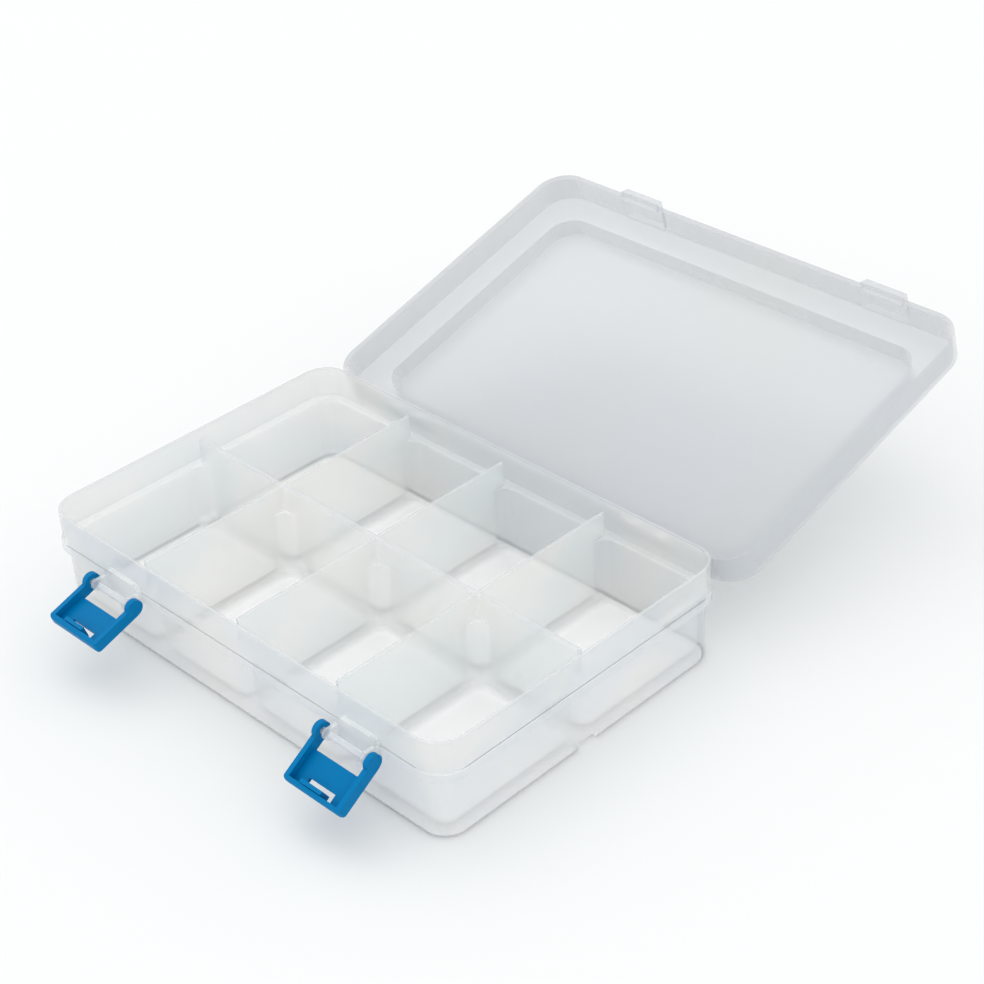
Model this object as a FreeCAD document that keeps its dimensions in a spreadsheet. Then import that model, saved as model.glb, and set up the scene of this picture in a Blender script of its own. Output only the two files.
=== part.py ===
import FreeCAD, Part

import math
import os
import re

import Sketcher

# A clear box with eight compartments, one hinged lid over all of them and two snap latches.
# Origin: middle of the tray's footprint, on the surface that the box stands on.
# X runs along the box, Y from the latches towards the hinge, Z up. All sizes are millimetres.
# The lid is drawn in its closed place round the hinge line, and each latch hanging from its bar.
# Their placements turn them to where they lie: the lid laid open, the latches swung out.

SIZES = {
    # tray
    "box_length": 200,
    "box_width": 134,
    "box_height": 40,
    "lip_height": 12,
    "lip_wall": 1.3,
    "lip_corner": 11,
    "edge_round": 0.4,
    "foot_inset": 1.8,
    "foot_bevel": 0.9,
    "shoulder_inset": 1.6,
    "bead_reach": 0.6,
    "bead_height": 3.5,
    "bead_round": 0.4,
    "ledge_width": 3.2,
    "floor_thickness": 1.4,
    # compartments and dividers
    "column_pitch": 49,
    "divider_drop": 2.2,
    "cross_top": 1.2,
    "cross_root": 2,
    "spine_top": 2,
    "spine_root": 2.8,
    "pocket_corner": 6,
    "pocket_floor_round": 4.6,
    # notch in the foot of both end walls
    "notch_width": 9,
    "notch_height": 2.8,
    "notch_depth": 2.6,
    # lid
    "lid_gap": 0.6,
    "lid_seat_gap": 0.3,
    "lid_wall": 1.4,
    "lid_plate": 1.3,
    "lid_depth": 12.5,
    "lid_edge_round": 1.5,
    "panel_inset": 11,
    "panel_rise": 6.5,
    "panel_draft": 0.8,
    "panel_corner": 12,
    "panel_round": 1.2,
    "lead_in": 1.1,
    "lid_open_angle": 164,
    # catches on the lid's free edge
    "catch_foot": 21.4,
    "catch_tip": 18,
    "catch_reach": 3,
    # how far the hinge and latch stations stand in from the box's ends
    "left_station_inset": 43.6,
    "right_station_inset": 36.4,
    # hinge, which stands above the ledge
    "hinge_behind": 2.8,
    "hinge_rise": 3.4,
    "pin_radius": 1.5,
    "running_gap": 0.06,
    "barrel_radius": 2.4,
    "barrel_length": 24,
    "knuckle_radius": 2.8,
    "knuckle_width": 4,
    "knuckle_spacing": 12,
    "knuckle_reach": 3,
    "knuckle_foot": 1.5,
    "mouth_width": 2.5,
    "side_gap": 0.4,
    "swing_gap": 0.8,
    # latch bars on the tray, which lie below the ledge
    "bar_ahead": 5.9,
    "bar_drop": 1.9,
    "bar_radius": 1.3,
    "bar_end_gap": 0.2,
    "bracket_width": 18.6,
    "bracket_thickness": 1.6,
    "bracket_radius": 2.1,
    "seat_reach": 2,
    "seat_drop": 6.5,
    "seat_rise": 3,
    "seat_round": 3,
    # latches
    "latch_width": 25.8,
    "latch_length": 19.3,
    "ear_thickness": 2,
    "ear_radius": 3.2,
    "ear_bore_depth": 1.5,
    "window_length": 6,
    "plate_back": 3.3,
    "plate_thickness": 1.4,
    "rim_front": 1.1,
    "rim_thickness": 1.8,
    "latch_corner": 1.5,
    "slot_width": 12,
    "slot_height": 1.5,
    "slot_place": 14.4,
    "slot_foot_width": 2.4,
    "slot_foot_height": 1.5,
    "rib_thickness": 1.4,
    "rib_reach": 3.5,
    "left_latch_swing": 71.5,
    "right_latch_swing": 57,
    # how far a cut runs past what it cuts, and how far a joined piece reaches into its neighbour
    "overrun": 2,
    "overlap": 0.5,
    # how near an edge lies to the level at which it is looked for
    "near": 0.01,
}

# Sizes that follow from the ones above, as formulas of the same sheet.
DERIVED = {
    "ledge_level": "box_height - lip_height",
    "divider_level": "box_height - divider_drop",
    "pocket_inset": "lip_wall + ledge_width",
    "pocket_end": "box_length / 2 - pocket_inset",
    "pocket_side": "box_width / 2 - pocket_inset",
    # how much of a divider's taper is left at the ledge, as a share of its full height
    "ledge_share": "(divider_level - ledge_level) / (divider_level - floor_thickness)",
    "cross_ledge": "cross_top + (cross_root - cross_top) * ledge_share",
    "spine_ledge": "spine_top + (spine_root - spine_top) * ledge_share",
    "station_left": "left_station_inset - box_length / 2",
    "station_right": "box_length / 2 - right_station_inset",
    "hinge_line": "box_width / 2 + hinge_behind",
    "hinge_height": "ledge_level + hinge_rise",
    "bar_line": "0 - box_width / 2 - bar_ahead",
    "bar_level": "ledge_level - bar_drop",
    "seat_low": "ledge_level - seat_drop",
    "seat_high": "ledge_level + seat_rise",
    "bore_radius": "pin_radius + running_gap",
    "bar_half": "latch_width / 2 - ear_thickness + ear_bore_depth - bar_end_gap",
    "ear_bore_radius": "bar_radius + running_gap",
    "lid_reach": "lid_gap + lid_wall",
    "lid_corner": "lip_corner + lid_reach",
    # lid levels above the hinge line, with the lid closed
    "plate_level": "box_height + lid_seat_gap + lid_plate - hinge_height",
    "rim_level": "plate_level - lid_depth",
    # lid edges along Y from the hinge line, with the lid closed
    "lid_rear": "lid_reach - hinge_behind",
    "lid_front": "0 - box_width - lid_reach - hinge_behind",
    # the closed catches clear the latch seats
    "recess_front": "lid_front + lid_reach - seat_reach - side_gap",
    "recess_height": "seat_high + side_gap - hinge_height - rim_level",
}

COLUMNS = 4
STATIONS = (("left", "station_left"), ("right", "station_right"))

doc = FreeCAD.newDocument("bead_organizer")


def fill_sheet():
    """Write the driving sizes as plain numbers and the derived ones as formulas, one row each."""
    sheet = doc.addObject("Spreadsheet::Sheet", "Sizes")
    for row, (name, value) in enumerate(list(SIZES.items()) + list(DERIVED.items()), start=1):
        sheet.set(f"A{row}", name)
        sheet.set(f"B{row}", str(value) if name in SIZES else "=" + value)
        sheet.setAlias(f"B{row}", name)
    doc.recompute()
    return sheet


sheet = fill_sheet()


def bound(text):
    """The same formula with each size's name pointing at its cell of the sheet."""
    return re.sub(r"[a-z_]+", lambda word: "Sizes." + word.group(), text)


def value(text):
    """What a formula of named sizes comes to now."""
    result = sheet.evalExpression(bound(text))
    return float(getattr(result, "Value", result))


def new_body(name):
    body = doc.addObject("PartDesign::Body", name)
    body.Label = name
    return body


def add_sketch(body, name, plane, offset="0"):
    """A sketch on one of the body's own origin planes, moved along the plane's normal."""
    sketch = body.newObject("Sketcher::SketchObject", name)
    support = next(item for item in body.Origin.OriginFeatures if item.Role == plane)
    sketch.AttachmentSupport = (support, [""])
    sketch.MapMode = "FlatFace"
    if offset != "0":
        sketch.setExpression(".AttachmentOffset.Base.z", bound(offset))
    return sketch


def hold(sketch, kind, *place, size):
    """A dimension of the sketch that follows a formula of named sizes."""
    index = sketch.addConstraint(Sketcher.Constraint(kind, *place, value(size)))
    sketch.setExpression(f"Constraints[{index}]", bound(size))


def hold_point(sketch, geometry, end, across, up):
    """Hold one end of a line at a place measured from the sketch's origin."""
    for kind, size, axis in (("DistanceX", across, -2), ("DistanceY", up, -1)):
        if size == "0":
            sketch.addConstraint(Sketcher.Constraint("PointOnObject", geometry, end, axis))
        else:
            hold(sketch, kind, -1, 1, geometry, end, size=size)


def draw_outline(sketch, points):
    """A closed outline of straight lines through points given as formulas."""
    spots = [FreeCAD.Vector(value(across), value(up), 0) for across, up in points]
    first = sketch.GeometryCount
    count = len(points)
    for index in range(count):
        sketch.addGeometry(Part.LineSegment(spots[index], spots[(index + 1) % count]), False)
    for index, (across, up) in enumerate(points):
        before = first + (index - 1) % count
        sketch.addConstraint(Sketcher.Constraint("Coincident", before, 2, first + index, 1))
        hold_point(sketch, first + index, 1, across, up)


def draw_block(sketch, left, right, low, high):
    draw_outline(sketch, [(left, low), (right, low), (right, high), (left, high)])


def draw_rounded_block(sketch, left, right, low, high, radius):
    """A rectangle with four equal round corners."""
    x_low, x_high, y_low, y_high, r = (value(text) for text in (left, right, low, high, radius))
    first = sketch.GeometryCount
    corners = [(x_high - r, y_low + r, -90), (x_high - r, y_high - r, 0),
               (x_low + r, y_high - r, 90), (x_low + r, y_low + r, 180)]
    sides = [((x_low + r, y_low), (x_high - r, y_low)), ((x_high, y_low + r), (x_high, y_high - r)),
             ((x_high - r, y_high), (x_low + r, y_high)), ((x_low, y_high - r), (x_low, y_low + r))]
    for (start, end), (across, up, angle) in zip(sides, corners):
        sketch.addGeometry(Part.LineSegment(FreeCAD.Vector(*start, 0), FreeCAD.Vector(*end, 0)), False)
        circle = Part.Circle(FreeCAD.Vector(across, up, 0), FreeCAD.Vector(0, 0, 1), r)
        turn = math.radians(angle)
        sketch.addGeometry(Part.ArcOfCircle(circle, turn, turn + math.pi / 2), False)
    for side in range(len(sides)):
        line = first + 2 * side
        following = first + 2 * ((side + 1) % len(sides))
        sketch.addConstraint(Sketcher.Constraint("Tangent", line, 2, line + 1, 1))
        sketch.addConstraint(Sketcher.Constraint("Tangent", line + 1, 2, following, 1))
        sketch.addConstraint(Sketcher.Constraint("Vertical" if side % 2 else "Horizontal", line))
        if side:
            sketch.addConstraint(Sketcher.Constraint("Equal", first + 1, line + 1))
    hold(sketch, "Radius", first + 1, size=radius)
    hold(sketch, "DistanceY", -1, 1, first, 1, size=low)
    hold(sketch, "DistanceX", -1, 1, first + 2, 1, size=right)
    hold(sketch, "DistanceY", -1, 1, first + 4, 1, size=high)
    hold(sketch, "DistanceX", -1, 1, first + 6, 1, size=left)


def draw_circle(sketch, across, up, radius):
    centre = FreeCAD.Vector(value(across), value(up), 0)
    index = sketch.addGeometry(Part.Circle(centre, FreeCAD.Vector(0, 0, 1), value(radius)), False)
    hold_point(sketch, index, 3, across, up)
    hold(sketch, "Radius", index, size=radius)


def draw_round_end(sketch, back, tip, middle, radius):
    """A bar's outline that ends in a half circle: from back to the circle's centre at tip."""
    outward = 1 if value(tip) > value(back) else -1
    centre = FreeCAD.Vector(value(tip), value(middle), 0)
    r = value(radius)
    x_back = value(back)
    top, low = centre.y + r, centre.y - r
    first = sketch.GeometryCount
    corners = [FreeCAD.Vector(*place, 0) for place in (
        (x_back, low), (centre.x, low), (centre.x, top), (x_back, top))]
    start = -math.pi / 2 if outward > 0 else math.pi / 2
    circle = Part.Circle(centre, FreeCAD.Vector(0, 0, 1), r)
    sketch.addGeometry(Part.LineSegment(corners[0], corners[1]), False)
    sketch.addGeometry(Part.ArcOfCircle(circle, start, start + math.pi), False)
    sketch.addGeometry(Part.LineSegment(corners[2], corners[3]), False)
    sketch.addGeometry(Part.LineSegment(corners[3], corners[0]), False)
    low_end, top_end = (1, 2) if outward > 0 else (2, 1)
    sketch.addConstraint(Sketcher.Constraint("Tangent", first, 2, first + 1, low_end))
    sketch.addConstraint(Sketcher.Constraint("Tangent", first + 1, top_end, first + 2, 1))
    sketch.addConstraint(Sketcher.Constraint("Coincident", first + 2, 2, first + 3, 1))
    sketch.addConstraint(Sketcher.Constraint("Coincident", first + 3, 2, first, 1))
    sketch.addConstraint(Sketcher.Constraint("Horizontal", first))
    sketch.addConstraint(Sketcher.Constraint("Vertical", first + 3))
    hold(sketch, "Radius", first + 1, size=radius)
    hold_point(sketch, first + 1, 3, tip, middle)
    hold(sketch, "DistanceX", -1, 1, first + 3, 1, size=back)


def extrude(body, kind, name, sketch, length, both_ways=False, backwards=False):
    """A pad or pocket of one sketch."""
    feature = body.newObject("PartDesign::" + kind, name)
    feature.Profile = sketch
    feature.Length = value(length)
    feature.setExpression("Length", bound(length))
    feature.SideType = "Symmetric" if both_ways else "One side"
    feature.Reversed = backwards
    sketch.Visibility = False
    doc.recompute()
    return feature


def loft(body, kind, name, sections):
    feature = body.newObject("PartDesign::" + kind, name)
    feature.Profile = sections[0]
    feature.Sections = [(section, [""]) for section in sections[1:]]
    feature.Ruled = True
    doc.recompute()
    return feature


def edges_where(feature, test):
    """Names of the feature's edges that pass a test on their bounding box."""
    edges = enumerate(feature.Shape.Edges, start=1)
    return [f"Edge{number}" for number, edge in edges if test(edge.BoundBox)]


def level_edges(feature, level, inside=None):
    """Edges that lie flat at one level, all of them or those inside a rectangle about X and Y zero."""
    height = value(level)
    near = SIZES["near"]

    def flat(box):
        at_level = abs(box.ZMin - height) < near and abs(box.ZMax - height) < near
        return at_level and (inside is None or inside(box))

    return edges_where(feature, flat)


def dress(body, kind, name, feature, edges, size):
    """A fillet or chamfer on chosen edges."""
    finish = body.newObject("PartDesign::" + kind, name)
    finish.Base = (feature, edges)
    parameter = "Radius" if kind == "Fillet" else "Size"
    setattr(finish, parameter, value(size))
    finish.setExpression(parameter, bound(size))
    doc.recompute()
    return finish


def block_sides(inset):
    """Left, right, front and rear sides of a rectangle set in from the lip's outer faces."""
    across, along = f"box_length / 2 - ({inset})", f"box_width / 2 - ({inset})"
    return f"0 - ({across})", across, f"0 - ({along})", along


def tray_section(body, name, level, inset):
    """The tray's rounded plan at one level, set in from the lip's outer face."""
    sketch = add_sketch(body, name, "XY_Plane", level)
    draw_rounded_block(sketch, *block_sides(inset), f"lip_corner - ({inset})")
    return sketch


def cross_place(number):
    """Where the cross divider after this many columns stands along X."""
    return f"({number} - {COLUMNS} / 2) * column_pitch"


def add_pockets(tray):
    """Four columns of two compartments with round corners and round floor edges."""
    floor = {"level": "floor_thickness", "cross": "cross_root", "spine": "spine_root"}
    mouth = {"level": "ledge_level", "cross": "cross_ledge", "spine": "spine_ledge"}
    feature = None
    for column in range(COLUMNS):
        for row in ("front", "rear"):
            sections = []
            for label, section in (("mouth", mouth), ("floor", floor)):
                left = f"{cross_place(column)} + {section['cross']} / 2"
                right = f"{cross_place(column + 1)} - {section['cross']} / 2"
                if column == 0:
                    left = "0 - pocket_end"
                if column == COLUMNS - 1:
                    right = "pocket_end"
                low, high = f"{section['spine']} / 2", "pocket_side"
                if row == "front":
                    low, high = "0 - pocket_side", f"0 - {section['spine']} / 2"
                name = f"pocket_{row}_{column + 1}_{label}"
                sketch = add_sketch(tray, name, "XY_Plane", section["level"])
                draw_rounded_block(sketch, left, right, low, high, "pocket_corner")
                sections.append(sketch)
            feature = loft(tray, "SubtractiveLoft", f"pocket_{row}_{column + 1}", sections)
    floor_edges = level_edges(feature, "floor_thickness")
    return dress(tray, "Fillet", "pocket_floors", feature, floor_edges, "pocket_floor_round")


def draw_divider(sketch, middle, ledge_width, top_width):
    """The part of a divider that stands above the ledge, seen from its end."""
    draw_outline(sketch, [
        (f"{middle} - {ledge_width} / 2", "ledge_level"), (f"{middle} + {ledge_width} / 2", "ledge_level"),
        (f"{middle} + {top_width} / 2", "divider_level"), (f"{middle} - {top_width} / 2", "divider_level"),
    ])


def add_dividers(tray):
    """The dividers stand above the ledge and stop at the compartments' outer walls."""
    cross = add_sketch(tray, "cross_divider_tops", "XZ_Plane")
    for number in range(1, COLUMNS):
        draw_divider(cross, cross_place(number), "cross_ledge", "cross_top")
    extrude(tray, "Pad", "cross_dividers", cross, "2 * pocket_side", both_ways=True)
    spine = add_sketch(tray, "spine_top_outline", "YZ_Plane")
    draw_divider(spine, "0", "spine_ledge", "spine_top")
    extrude(tray, "Pad", "spine", spine, "2 * pocket_end", both_ways=True)


def add_end_notches(tray):
    """A shallow notch in the middle of each end wall's foot."""
    notch = add_sketch(tray, "end_notch_outline", "XY_Plane")
    deep, out = "(box_length / 2 - foot_inset - notch_depth)", "(box_length / 2 + overrun)"
    draw_block(notch, deep, out, "0 - notch_width / 2", "notch_width / 2")
    draw_block(notch, "0 - " + out, "0 - " + deep, "0 - notch_width / 2", "notch_width / 2")
    extrude(tray, "Pocket", "end_notches", notch, "notch_height", backwards=True)


def add_latch_mount(tray, side, station):
    """The seat on the wall, two brackets and the bar that one latch turns on."""
    seat = add_sketch(tray, f"latch_seat_{side}_outline", "XZ_Plane", "box_width / 2 - lip_wall / 2")
    draw_rounded_block(seat, f"{station} - bracket_width / 2", f"{station} + bracket_width / 2",
                       "seat_low", "seat_high", "seat_round")
    extrude(tray, "Pad", f"latch_seat_{side}", seat, "seat_reach + lip_wall / 2")
    foot = add_sketch(tray, f"latch_seat_foot_{side}_outline", "XZ_Plane", "box_width / 2 - foot_inset")
    draw_block(foot, f"{station} - bracket_width / 2 + seat_round",
               f"{station} + bracket_width / 2 - seat_round", "seat_low", "ledge_level")
    extrude(tray, "Pad", f"latch_seat_foot_{side}", foot, "foot_inset")
    for end, place in (("a", "0 - bracket_width / 2"), ("b", "bracket_width / 2 - bracket_thickness")):
        bracket = add_sketch(tray, f"bracket_{side}_{end}_outline", "YZ_Plane", f"{station} + {place}")
        draw_round_end(bracket, "0 - box_width / 2 - overlap", "bar_line", "bar_level", "bracket_radius")
        extrude(tray, "Pad", f"bracket_{side}_{end}", bracket, "bracket_thickness")
    bar = add_sketch(tray, f"latch_bar_{side}_outline", "YZ_Plane", f"{station} - bar_half")
    draw_circle(bar, "bar_line", "bar_level", "bar_radius")
    extrude(tray, "Pad", f"latch_bar_{side}", bar, "2 * bar_half")


def draw_knuckle(sketch):
    """A knuckle seen from its end: a round eye on the hinge line, with its foot on the lip and the bead."""
    radius, line, height = value("knuckle_radius"), value("hinge_line"), value("hinge_height")
    face, edge = value("box_width / 2 - overlap"), value("box_width / 2 + knuckle_reach")
    low = value("ledge_level - knuckle_foot")
    drop = math.sqrt(radius ** 2 - (edge - line) ** 2)
    start = math.atan2(-drop, edge - line)
    circle = Part.Circle(FreeCAD.Vector(line, height, 0), FreeCAD.Vector(0, 0, 1), radius)
    corners = [FreeCAD.Vector(*place, 0) for place in (
        (line, height + radius), (face, height + radius), (face, low), (edge, low), (edge, height - drop))]
    for begin, end in zip(corners, corners[1:]):
        sketch.addGeometry(Part.LineSegment(begin, end), False)
    arc = sketch.addGeometry(Part.ArcOfCircle(circle, start, math.pi / 2), False)
    top, back, foot, rise = range(4)
    for line_before, line_after in ((top, back), (back, foot), (foot, rise)):
        sketch.addConstraint(Sketcher.Constraint("Coincident", line_before, 2, line_after, 1))
    sketch.addConstraint(Sketcher.Constraint("Coincident", rise, 2, arc, 1))
    sketch.addConstraint(Sketcher.Constraint("Tangent", arc, 2, top, 1))
    for line_number in (top, foot):
        sketch.addConstraint(Sketcher.Constraint("Horizontal", line_number))
    for line_number in (back, rise):
        sketch.addConstraint(Sketcher.Constraint("Vertical", line_number))
    hold_point(sketch, arc, 3, "hinge_line", "hinge_height")
    hold(sketch, "Radius", arc, size="knuckle_radius")
    hold(sketch, "DistanceX", -1, 1, back, 1, size="box_width / 2 - overlap")
    hold(sketch, "DistanceX", -1, 1, rise, 1, size="box_width / 2 + knuckle_reach")
    hold(sketch, "DistanceY", -1, 1, foot, 1, size="ledge_level - knuckle_foot")


def knuckle_places(station):
    """Where the two knuckles of one hinge station start along X."""
    return [(end, f"{station} {sign} knuckle_spacing / 2 - knuckle_width / 2")
            for end, sign in (("a", "-"), ("b", "+"))]


def add_hinge_knuckles(tray):
    """Four snap-in eyes behind the tray that hold the lid's pins."""
    for side, station in STATIONS:
        for end, place in knuckle_places(station):
            eye = add_sketch(tray, f"knuckle_{side}_{end}_outline", "YZ_Plane", place)
            draw_knuckle(eye)
            extrude(tray, "Pad", f"knuckle_{side}_{end}", eye, "knuckle_width")
    bore = add_sketch(tray, "knuckle_bore_outline", "YZ_Plane")
    draw_circle(bore, "hinge_line", "hinge_height", "bore_radius")
    extrude(tray, "Pocket", "knuckle_bores", bore, "box_length", both_ways=True)
    mouth = add_sketch(tray, "knuckle_mouth_outline", "YZ_Plane")
    draw_block(mouth, "hinge_line", "hinge_line + knuckle_radius + overrun",
               "hinge_height - mouth_width / 2", "hinge_height + mouth_width / 2")
    extrude(tray, "Pocket", "knuckle_mouths", mouth, "box_length", both_ways=True)


def make_tray():
    """The tray in one moulding: body, bead, lip, eight compartments, latch bars and hinge eyes."""
    tray = new_body("base_tray")
    sole = tray_section(tray, "sole_outline", "0", "foot_inset + foot_bevel")
    foot = tray_section(tray, "foot_outline", "foot_bevel", "foot_inset")
    shoulder = tray_section(tray, "shoulder_outline", "ledge_level", "shoulder_inset")
    loft(tray, "AdditiveLoft", "tub", [sole, foot, shoulder])
    bead_outline = tray_section(tray, "bead_outline", "ledge_level - bead_height", "0 - bead_reach")
    bead = extrude(tray, "Pad", "bead", bead_outline, "bead_height")
    bead_edges = []
    for level in ("ledge_level - bead_height", "ledge_level"):
        bead_edges += level_edges(bead, level, outside_lip)
    dress(tray, "Fillet", "bead_rounds", bead, bead_edges, "bead_round")
    lip_outline = tray_section(tray, "lip_outline", "ledge_level", "0")
    extrude(tray, "Pad", "lip", lip_outline, "lip_height")
    mouth_outline = tray_section(tray, "mouth_outline", "box_height", "lip_wall")
    mouth = extrude(tray, "Pocket", "mouth", mouth_outline, "lip_height")
    dress(tray, "Fillet", "lip_rounds", mouth, level_edges(mouth, "box_height"), "edge_round")
    for side, station in STATIONS:
        add_latch_mount(tray, side, station)
    add_hinge_knuckles(tray)
    add_pockets(tray)
    add_dividers(tray)
    add_end_notches(tray)
    return tray


def outside_lip(box):
    """Does this edge reach past the lip's outer face?"""
    across, along = value("box_length / 2 + near"), value("box_width / 2 + near")
    return box.XMax > across or box.XMin < -across or box.YMax > along or box.YMin < -along


def lid_section(body, name, level, inset, corner):
    """A rounded plan of the lid at one level, set in from its outer faces."""
    sketch = add_sketch(body, name, "XY_Plane", level)
    across = f"box_length / 2 + lid_reach - ({inset})"
    front, rear = f"lid_front + ({inset})", f"lid_rear - ({inset})"
    draw_rounded_block(sketch, f"0 - ({across})", across, front, rear, corner)
    return sketch


def add_catches(lid):
    """Two catches on the free edge, which the latches' ribs hook over, each recessed behind for its seat."""
    catches = add_sketch(lid, "catch_outline", "XY_Plane", "rim_level")
    for side, station in STATIONS:
        foot = [f"{station} {sign} catch_foot / 2" for sign in "-+"]
        tip = [f"{station} {sign} catch_tip / 2" for sign in "-+"]
        draw_outline(catches, [
            (foot[0], "lid_front + overlap"), (foot[0], "lid_front"), (tip[0], "lid_front - catch_reach"),
            (tip[1], "lid_front - catch_reach"), (foot[1], "lid_front"), (foot[1], "lid_front + overlap"),
        ])
    extrude(lid, "Pad", "catches", catches, "lid_depth")
    recesses = add_sketch(lid, "catch_recess_outline", "XY_Plane", "rim_level")
    for side, station in STATIONS:
        side_reach = "bracket_width / 2 + side_gap"
        draw_block(recesses, f"{station} - ({side_reach})", f"{station} + {side_reach}",
                   "recess_front", "lid_front + lid_wall + overlap")
    extrude(lid, "Pocket", "catch_recesses", recesses, "recess_height", backwards=True)


def add_hinge_barrels(lid):
    """Barrels and pins on the lid's rear edge, with gaps for the tray's knuckles."""
    for side, station in STATIONS:
        barrel = add_sketch(lid, f"barrel_{side}_outline", "YZ_Plane", f"{station} - barrel_length / 2")
        draw_circle(barrel, "0", "0", "barrel_radius")
        extrude(lid, "Pad", f"barrel_{side}", barrel, "barrel_length")
    gaps = add_sketch(lid, "knuckle_gap_outline", "XY_Plane", "0 - knuckle_radius - overrun")
    for side, station in STATIONS:
        for end, place in knuckle_places(station):
            draw_block(gaps, f"{place} - side_gap", f"{place} + knuckle_width + side_gap",
                       "0 - knuckle_radius - lid_wall", "knuckle_radius + overrun")
    extrude(lid, "Pocket", "knuckle_gaps", gaps, "2 * knuckle_radius + overrun + swing_gap", backwards=True)
    for side, station in STATIONS:
        pin = add_sketch(lid, f"pin_{side}_outline", "YZ_Plane", f"{station} - barrel_length / 2")
        draw_circle(pin, "0", "0", "pin_radius")
        extrude(lid, "Pad", f"pin_{side}", pin, "barrel_length")


def make_lid():
    """The lid in one moulding: skirt, plate, raised panel, two catches and hinge pins."""
    lid = new_body("lid")
    skirt_outline = lid_section(lid, "skirt_outline", "rim_level", "0", "lid_corner")
    skirt = extrude(lid, "Pad", "skirt", skirt_outline, "lid_depth")
    dress(lid, "Fillet", "plate_rounds", skirt, level_edges(skirt, "plate_level"), "lid_edge_round")
    panel_foot = lid_section(lid, "panel_foot_outline", "plate_level", "panel_inset", "panel_corner")
    panel_top = lid_section(lid, "panel_top_outline", "plate_level + panel_rise",
                            "panel_inset + panel_draft", "panel_corner")
    panel = loft(lid, "AdditiveLoft", "panel", [panel_foot, panel_top])
    panel_edges = level_edges(panel, "plate_level + panel_rise")
    dress(lid, "Fillet", "panel_rounds", panel, panel_edges, "panel_round")
    inside_outline = lid_section(lid, "inside_outline", "rim_level", "lid_wall", "lid_corner - lid_wall")
    inside = extrude(lid, "Pocket", "inside", inside_outline, "lid_depth - lid_plate", backwards=True)
    panel_wall = "(panel_inset + lid_plate)"
    hollow_foot = lid_section(lid, "panel_hollow_foot_outline", "plate_level - lid_plate",
                              panel_wall, "panel_corner - lid_plate")
    hollow_top = lid_section(lid, "panel_hollow_top_outline", "plate_level + panel_rise - lid_plate",
                             panel_wall + " + panel_draft", "panel_corner - lid_plate")
    hollow = loft(lid, "SubtractiveLoft", "panel_hollow", [hollow_foot, hollow_top])
    inner_rim = level_edges(hollow, "rim_level", lambda box: not outside_lid_wall(box))
    dress(lid, "Chamfer", "rim_lead_in", hollow, inner_rim, "lead_in")
    add_catches(lid)
    add_hinge_barrels(lid)
    place_body(lid, ("0", "hinge_line", "hinge_height"), "lid_open_angle")
    return lid


def outside_lid_wall(box):
    """Is this edge on the skirt's outer face rather than its inner one?"""
    across = value("box_length / 2 + lid_gap + near")
    front, rear = value("lid_front + lid_wall - near"), value("lid_rear - lid_wall + near")
    return box.XMax > across or box.XMin < -across or box.YMax > rear or box.YMin < front


def place_body(body, place, swing):
    """Stand a body on its turning line and swing it open about that line."""
    body.Placement = FreeCAD.Placement(FreeCAD.Vector(*map(value, place)),
                                       FreeCAD.Rotation(FreeCAD.Vector(-1, 0, 0), value(swing)))
    for axis, text in zip("xyz", place):
        if text != "0":
            body.setExpression("Placement.Base." + axis, bound(text))
    body.setExpression("Placement.Rotation.Angle", bound(swing))


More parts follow.
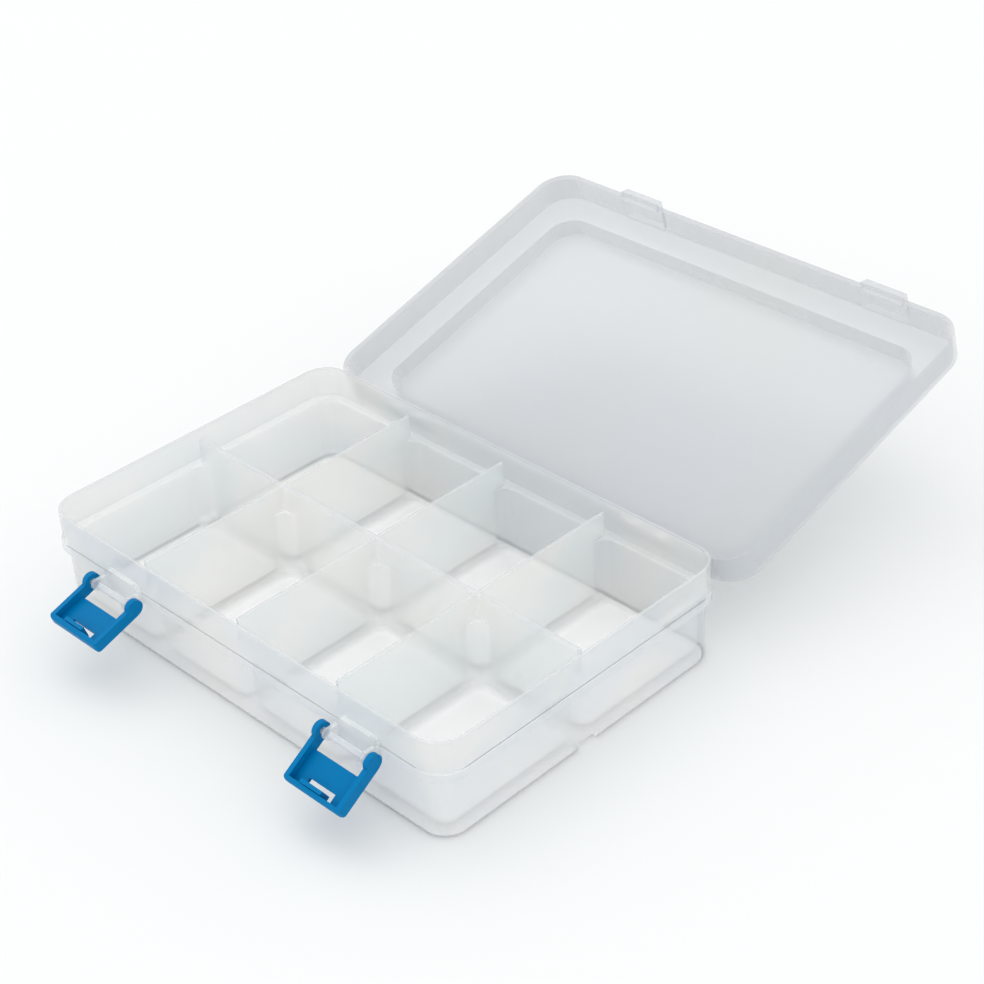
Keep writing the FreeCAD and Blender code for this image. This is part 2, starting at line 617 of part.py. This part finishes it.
def make_latch(side, station, swing):
    """A blue latch: a plate with a raised rim, two ears on the bar, a moulding slot and a hooked rib."""
    latch = new_body("latch_" + side)
    half, inner = "latch_width / 2", "(latch_width / 2 - rim_thickness)"
    rim = add_sketch(latch, "rim_outline_" + side, "XZ_Plane", "0 - plate_back")
    draw_outline(rim, [
        ("0 - " + half, "0"), ("0 - " + half, "0 - latch_length"), (half, "0 - latch_length"), (half, "0"),
        (inner, "0"), (inner, "rim_thickness - latch_length"),
        ("0 - " + inner, "rim_thickness - latch_length"), ("0 - " + inner, "0"),
    ])
    rims = extrude(latch, "Pad", "rims_" + side, rim, "plate_back + rim_front")
    corner = value(half) - SIZES["near"]
    low = value("near - latch_length")
    corners = edges_where(rims, lambda box: box.ZMax < low and min(abs(box.XMin), abs(box.XMax)) > corner)
    dress(latch, "Fillet", "rim_corners_" + side, rims, corners, "latch_corner")
    plate = add_sketch(latch, "plate_outline_" + side, "XZ_Plane", "0 - plate_back")
    draw_block(plate, "0 - latch_width / 2 + overlap", "latch_width / 2 - overlap",
               "overlap - latch_length", "0 - window_length")
    extrude(latch, "Pad", "plate_" + side, plate, "plate_thickness")
    for end, start in (("a", "0 - latch_width / 2"), ("b", "latch_width / 2 - ear_thickness")):
        ear = add_sketch(latch, f"ear_outline_{side}_{end}", "YZ_Plane", start)
        draw_circle(ear, "0", "0", "ear_radius")
        extrude(latch, "Pad", f"ear_{side}_{end}", ear, "ear_thickness")
    bore = add_sketch(latch, "ear_bore_outline_" + side, "YZ_Plane")
    draw_circle(bore, "0", "0", "ear_bore_radius")
    extrude(latch, "Pocket", "ear_bores_" + side, bore,
            "latch_width - 2 * ear_thickness + 2 * ear_bore_depth", both_ways=True)
    slot = add_sketch(latch, "slot_outline_" + side, "XZ_Plane")
    slot_low = "(0 - slot_place - slot_height)"
    foot_low = "(0 - slot_place - slot_height - slot_foot_height)"
    foot_start = "(slot_width / 2 - slot_foot_width)"
    draw_outline(slot, [
        ("0 - slot_width / 2", "0 - slot_place"), ("0 - slot_width / 2", slot_low), (foot_start, slot_low),
        (foot_start, foot_low), ("slot_width / 2", foot_low), ("slot_width / 2", "0 - slot_place"),
    ])
    extrude(latch, "Pocket", "slot_" + side, slot, "2 * (plate_back + overrun)", both_ways=True)
    rib = add_sketch(latch, "rib_outline_" + side, "XZ_Plane", "plate_thickness - plate_back - overlap")
    draw_block(rib, "0 - slot_width / 2", foot_start, slot_low + " - rib_thickness", slot_low)
    extrude(latch, "Pad", "rib_" + side, rib, "rib_reach + overlap")
    place_body(latch, (station, "bar_line", "bar_level"), swing)
    return latch


def check_document(bodies):
    """Stop unless every object is sound and every body is one closed solid."""
    for item in doc.Objects:
        faults = [state for state in item.State if state in ("Invalid", "Error")]
        if faults:
            raise RuntimeError(f"{item.Name} is {faults}")
    for body in bodies:
        if body.Shape.isNull() or not body.Shape.isValid() or len(body.Shape.Solids) != 1:
            raise RuntimeError(f"{body.Label} isn't one valid solid")


bodies = [make_tray(), make_lid(), make_latch("left", "station_left", "left_latch_swing"),
          make_latch("right", "station_right", "right_latch_swing")]
doc.recompute()
check_document(bodies)

os.makedirs("parts", exist_ok=True)
for body in bodies:
    body.Shape.exportStep(f"parts/{body.Label}.step")
    box = body.Shape.BoundBox
    print(f"{body.Label}: X {box.XMin:.1f} to {box.XMax:.1f}, Y {box.YMin:.1f} to {box.YMax:.1f}, "
          f"Z {box.ZMin:.1f} to {box.ZMax:.1f}")
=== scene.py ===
import math

import bpy
from mathutils import Matrix, Vector

# Clear polypropylene compartment box with its lid laid open and two blue snap latches.
# Metres, Z up. The origin is the middle of the tray's footprint, on the table.
# The latches face -Y, the hinge faces +Y.

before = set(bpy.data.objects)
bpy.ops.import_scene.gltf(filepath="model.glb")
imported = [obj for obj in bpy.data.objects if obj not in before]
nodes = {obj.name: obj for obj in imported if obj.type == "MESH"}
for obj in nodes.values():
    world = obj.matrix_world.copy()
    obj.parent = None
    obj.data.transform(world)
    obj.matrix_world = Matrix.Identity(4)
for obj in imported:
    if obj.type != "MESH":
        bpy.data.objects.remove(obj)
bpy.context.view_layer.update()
scene = bpy.context.scene
mm = 0.001


# sRGB hex code to linear RGBA
def linearColour(hexCode):
    channels = []
    for start in (1, 3, 5):
        share = int(hexCode[start:start + 2], 16) / 255
        channels.append(share / 12.92 if share <= 0.04045 else ((share + 0.055) / 1.055) ** 2.4)
    return (*channels, 1)


# kind of node and its settings, then its inputs in order or by name without spaces; each input
# is a plain value, a socket, or a node, which stands for its first output
def addNode(tree, kind, settings=None, *ordered, **named):
    node = tree.nodes.new(kind)
    for name, value in (settings or {}).items():
        setattr(node, name, value)
    sockets = [socket for socket in node.inputs if socket.enabled]
    pairs = list(zip(sockets, ordered))
    for name, value in named.items():
        pairs.append((next(item for item in sockets if item.name.replace(" ", "") == name), value))
    for socket, value in pairs:
        if isinstance(value, bpy.types.Node):
            value = next(output for output in value.outputs if output.enabled)
        if isinstance(value, bpy.types.NodeSocket):
            tree.links.new(value, socket)
        else:
            socket.default_value = value
    return node


def newMaterial(name):
    material = bpy.data.materials.new(name)
    material.use_nodes = True
    tree = material.node_tree
    tree.nodes.clear()
    return material, tree


def addObject(name, data):
    thing = bpy.data.objects.new(name, data)
    scene.collection.objects.link(thing)
    return thing


def dressNode(name, *materials):
    mesh = nodes[name].data
    mesh.materials.clear()
    for material in materials:
        mesh.materials.append(material)
    return mesh


plasticIor = 1.49  # polypropylene
facingBlend = 0.3  # under 0.5, so that a face counts as edge-on late
flowDetail = 2


# Clear polypropylene, injection moulded and polished: see-through with a faint milky haze. Haze
# is the share of what lies behind that one face of a wall covers, passed the share of a lamp's
# light that goes through, each for a face seen flat and seen edge-on. Flow marks are slow changes
# of tone and haze, some centimetres long; on the lid they also serve as painted reflections. Up to
# the first of the low levels the plastic can take a painted tone, which stands for the light or
# shade that falls there, and a haze of its own; both are gone by the second.
def makeClearPlastic(name, look):
    material, tree = newMaterial(name)
    place = addNode(tree, "ShaderNodeTexCoord").outputs["Object"]
    flow = addNode(tree, "ShaderNodeTexNoise", Vector=place, Scale=1 / look["flowSize"],
                   Detail=flowDetail)
    marks = addNode(tree, "ShaderNodeMapRange", {"clamp": False}, Value=flow,
                    ToMin=1 - look["flowShare"], ToMax=1 + look["flowShare"])
    bandStart, bandEnd = look["flowBand"]
    tone = addNode(tree, "ShaderNodeMapRange", Value=flow, FromMin=bandStart, FromMax=bandEnd)
    colour = addNode(tree, "ShaderNodeMix", {"data_type": "RGBA"}, tone,
                     linearColour(look["colour"]), linearColour(look["flowColour"]))
    facing = addNode(tree, "ShaderNodeLayerWeight", Blend=facingBlend).outputs["Facing"]
    haze = addNode(tree, "ShaderNodeMapRange", Value=facing,
                   ToMin=look["hazeFlat"], ToMax=look["hazeEdge"])
    cover = addNode(tree, "ShaderNodeMath", {"operation": "MULTIPLY"}, haze, marks)
    if "lowLevels" in look:
        height = addNode(tree, "ShaderNodeSeparateXYZ", Vector=place).outputs["Z"]
        lowEnd, highStart = look["lowLevels"]
        above = addNode(tree, "ShaderNodeMapRange", Value=height, FromMin=lowEnd, FromMax=highStart)
        colour = addNode(tree, "ShaderNodeMix", {"data_type": "RGBA"}, above,
                         linearColour(look["lowColour"]), colour)
        cover = addNode(tree, "ShaderNodeMapRange", Value=above, ToMin=look["lowHaze"], ToMax=cover)
    shader = addNode(tree, "ShaderNodeBsdfPrincipled", BaseColor=colour,
                     Roughness=look["roughness"], IOR=plasticIor, Alpha=cover)
    passed = addNode(tree, "ShaderNodeMapRange", Value=facing,
                     ToMin=look["passedFlat"], ToMax=look["passedEdge"])
    through = addNode(tree, "ShaderNodeBsdfTransparent", Color=passed)
    lamp = addNode(tree, "ShaderNodeLightPath").outputs["Is Shadow Ray"]
    surface = addNode(tree, "ShaderNodeMixShader", None, lamp, shader, through)
    addNode(tree, "ShaderNodeOutputMaterial", Surface=surface)
    return material


# the same plastic where a wall ends or folds, painted in one flat tone for the light that it
# turns away inside: a painted highlight along the top edges, painted shade in the folds
def makePaintedEdgeTone(name, look):
    material, tree = newMaterial(name)
    shader = addNode(tree, "ShaderNodeBsdfPrincipled", BaseColor=linearColour(look["colour"]),
                     Roughness=look["roughness"], IOR=plasticIor, Alpha=look["cover"])
    addNode(tree, "ShaderNodeOutputMaterial", Surface=shader)
    return material


# Inside, the floor is painted white, painted light for the bright table under it; outside, the
# foot is painted a little grey, painted shade where it meets the table. The pocket faces are
# painted lighter than the outer walls, painted light against the shade inside the box. The top
# edges show as thin pale lines of painted highlight, the foot's bevel and the crease under the lip
# as thin grey lines of painted shade. The sizes below tell them apart.
baseTray = {
    # painted light: the pocket faces are painted lighter than the outer walls, against the shade
    # inside the box
    "pockets": {
        "colour": "#F0F0EE",
        "flowColour": "#E8EDED",
        # painted light: the pocket floor is painted white, for the bright table under it
        "lowColour": "#FFFFFF",
        "lowLevels": (1.6 * mm, 3.2 * mm),
        "lowHaze": 0.8,
        "roughness": 0.2,
        "hazeFlat": 0.37,
        "hazeEdge": 0.55,
        "passedFlat": 0.98,
        "passedEdge": 0.9,
        "flowSize": 45 * mm,
        "flowShare": 0.05,
        "flowBand": (0.42, 0.58),
    },
    "walls": {
        "colour": "#D4D7D6",
        "flowColour": "#CED3DA",
        # painted shade: the outer foot is painted grey where it meets the table
        "lowColour": "#B0B4B6",
        "lowLevels": (0.6 * mm, 1.2 * mm),
        "lowHaze": 0.5,
        "roughness": 0.2,
        "hazeFlat": 0.33,
        "hazeEdge": 0.5,
        "passedFlat": 0.55,
        "passedEdge": 0.35,
        "flowSize": 45 * mm,
        "flowShare": 0.06,
        "flowBand": (0.42, 0.58),
    },
    # painted highlight: the top edges are painted as thin pale lines
    "rims": {"colour": "#D1D5D7", "roughness": 0.25, "cover": 0.4},
    # painted shade: the foot's bevel and the crease under the lip are painted as thin grey lines
    "creases": {"colour": "#92999D", "roughness": 0.3, "cover": 0.7},
    "dividerTop": 37.8 * mm,
    "lipFoot": 28 * mm,
    "bevelTop": 0.9 * mm,
    "halfLength": 100 * mm,  # of the lip, along X
    "halfWidth": 67 * mm,  # of the lip, along Y
    "wallZone": 10 * mm,  # how far inside the lip's outline an outer wall may stand
    "near": 0.05 * mm,
}
pocketSlot, wallSlot, rimSlot, creaseSlot = range(4)  # in the order of the tray's materials


def isRim(points, tray):
    return min(point.z for point in points) > tray["dividerTop"] - tray["near"]


def isCrease(points, tray):
    near = tray["near"]
    low = min(point.z for point in points)
    high = max(point.z for point in points)
    outside = all(abs(point.x) > tray["halfLength"] - near
                  or abs(point.y) > tray["halfWidth"] - near for point in points)
    underLip = outside and abs(low - tray["lipFoot"]) < near and high - low < near
    return underLip or near < high < tray["bevelTop"] + near


def isOuterWall(face, tray):
    halves = (tray["halfLength"], tray["halfWidth"])
    return any(abs(face.center[axis]) > half - tray["wallZone"]
               and face.normal[axis] * face.center[axis] > 0 for axis, half in enumerate(halves))


def traySlot(face, points, tray):
    if isCrease(points, tray):
        return creaseSlot
    if isRim(points, tray):
        return rimSlot
    return wallSlot if isOuterWall(face, tray) else pocketSlot


def dressTray(tray):
    mesh = dressNode("base_tray",
                     makeClearPlastic("clearPolypropylenePocketPaintedLighter", tray["pockets"]),
                     makeClearPlastic("clearPolypropyleneWall", tray["walls"]),
                     makePaintedEdgeTone("clearPolypropyleneRimPaintedHighlight", tray["rims"]),
                     makePaintedEdgeTone("clearPolypropyleneCreasePaintedShade", tray["creases"]))
    for face in mesh.polygons:
        points = [mesh.vertices[index].co for index in face.vertices]
        face.material_index = traySlot(face, points, tray)


dressTray(baseTray)
print("Tray done")

# painted shade: the lid is the tray's plastic painted greyer; its slow changes of tone are flow marks
# and also painted reflections
openLid = {
    "colour": "#C5C9CA",
    "flowColour": "#C6CACF",
    "roughness": 0.16,
    "hazeFlat": 0.45,
    "hazeEdge": 0.22,
    "passedFlat": 0.76,
    "passedEdge": 0.75,
    "flowSize": 90 * mm,
    "flowShare": 0.08,
    "flowBand": (0.4, 0.6),
}
dressNode("lid", makeClearPlastic("clearPolypropyleneLidPaintedShade", openLid))
print("Lid done")

# Opaque blue polypropylene from a lightly eroded mould: satin gloss with a fine grain, drawn
# coarser than the real one, which is too fine to show.
latches = {
    "colour": "#0072AA",
    "specular": 0.06,  # low, so that the blue stays deep under a white sky
    "roughness": 0.34,
    "grainSize": 0.9 * mm,
    "grainHeight": 0.02 * mm,
    "grainStrength": 0.4,
    "grainDetail": 3,
    "grainRoughness": 0.6,
}


def makeBluePlastic(look):
    material, tree = newMaterial("bluePolypropylene")
    place = addNode(tree, "ShaderNodeTexCoord").outputs["Object"]
    grain = addNode(tree, "ShaderNodeTexNoise", Vector=place, Scale=1 / look["grainSize"],
                    Detail=look["grainDetail"], Roughness=look["grainRoughness"])
    bump = addNode(tree, "ShaderNodeBump", Height=grain, Strength=look["grainStrength"],
                   Distance=look["grainHeight"])
    shader = addNode(tree, "ShaderNodeBsdfPrincipled", BaseColor=linearColour(look["colour"]),
                     Roughness=look["roughness"], IOR=plasticIor,
                     SpecularIORLevel=look["specular"], Normal=bump)
    addNode(tree, "ShaderNodeOutputMaterial", Surface=shader)
    return material


bluePlastic = makeBluePlastic(latches)
for latch in ("latch_left", "latch_right"):
    dressNode(latch, bluePlastic)
print("Latches done")

white = (1, 1, 1, 1)
studio = {
    "floorSize": 6,
    "floorDrop": 0.3 * mm,  # keeps the paper clear of the tray's underside
    "floorColour": "#E4E6E6",
    "floorRoughness": 0.9,
    "floorIor": 1.3,
    "skyStrength": 1.19,  # on the box
    "backdropStrength": 1,  # what the camera, gloss and clear plastic see of it
    "keyTurn": -100,  # degrees from the front towards the right
    "keyRise": 58,  # degrees above the floor
    "keyStrength": 0.3,
    "keySpread": 40,  # degrees across
}


# matt white studio paper
def makeFloor(look):
    material, tree = newMaterial("studioPaper")
    shader = addNode(tree, "ShaderNodeBsdfPrincipled", BaseColor=linearColour(look["floorColour"]),
                     Roughness=look["floorRoughness"], IOR=look["floorIor"])
    addNode(tree, "ShaderNodeOutputMaterial", Surface=shader)
    half = look["floorSize"] / 2
    level = -look["floorDrop"]
    corners = [(-half, -half, level), (half, -half, level), (half, half, level), (-half, half, level)]
    mesh = bpy.data.meshes.new("studioFloor")
    mesh.from_pydata(corners, [], [(0, 1, 2, 3)])
    mesh.materials.append(material)
    addObject("studioFloor", mesh)


# an even white sky, brighter as light on the box than as the backdrop behind it
def makeSky(look):
    world = bpy.data.worlds.new("studioSky")
    scene.world = world
    world.use_nodes = True
    tree = world.node_tree
    tree.nodes.clear()
    path = addNode(tree, "ShaderNodeLightPath")
    straight = addNode(tree, "ShaderNodeMath", {"operation": "MAXIMUM"},
                       path.outputs["Is Camera Ray"], path.outputs["Is Transmission Ray"])
    seen = addNode(tree, "ShaderNodeMath", {"operation": "MAXIMUM"},
                   straight, path.outputs["Is Glossy Ray"])
    sky = addNode(tree, "ShaderNodeBackground", Color=white, Strength=look["skyStrength"])
    backdrop = addNode(tree, "ShaderNodeBackground", Color=white, Strength=look["backdropStrength"])
    surface = addNode(tree, "ShaderNodeMixShader", None, seen, sky, backdrop)
    addNode(tree, "ShaderNodeOutputWorld", Surface=surface)


# a soft key light from the left, a little behind the box
def makeKeyLight(look):
    data = bpy.data.lights.new("keyLight", "SUN")
    data.energy = look["keyStrength"]
    data.angle = math.radians(look["keySpread"])
    lamp = addObject("keyLight", data)
    lamp.rotation_euler = (math.radians(90 - look["keyRise"]), 0, math.radians(look["keyTurn"]))


makeFloor(studio)
makeSky(studio)
makeKeyLight(studio)
print("Studio done")

# The camera's place, the directions that point right and up in its picture, and its lens are
# fitted to the edges of the box in the photograph. Lens and sensor are in millimetres.
view = {
    "eye": (471.7 * mm, -397.5 * mm, 465.9 * mm),
    "across": (0.7128, 0.7002, -0.0415),
    "upward": (-0.3656, 0.4213, 0.83),
    "lens": 79.37,
    "sensorWidth": 36,
    "nearClip": 10 * mm,
}
transparentBounces = 32  # enough for all the clear walls behind one another


def makeCamera(look):
    data = bpy.data.cameras.new("viewCamera")
    data.lens = look["lens"]
    data.sensor_width = look["sensorWidth"]
    data.sensor_fit = "HORIZONTAL"
    data.clip_start = look["nearClip"]
    across = Vector(look["across"]).normalized()
    back = across.cross(Vector(look["upward"])).normalized()
    upward = back.cross(across)
    turn = Matrix((across, upward, back)).transposed().to_4x4()
    camera = addObject("viewCamera", data)
    camera.matrix_world = Matrix.Translation(Vector(look["eye"])) @ turn
    scene.camera = camera


makeCamera(view)
scene.view_settings.view_transform = "Standard"
scene.cycles.transparent_max_bounces = transparentBounces
print("Camera done")
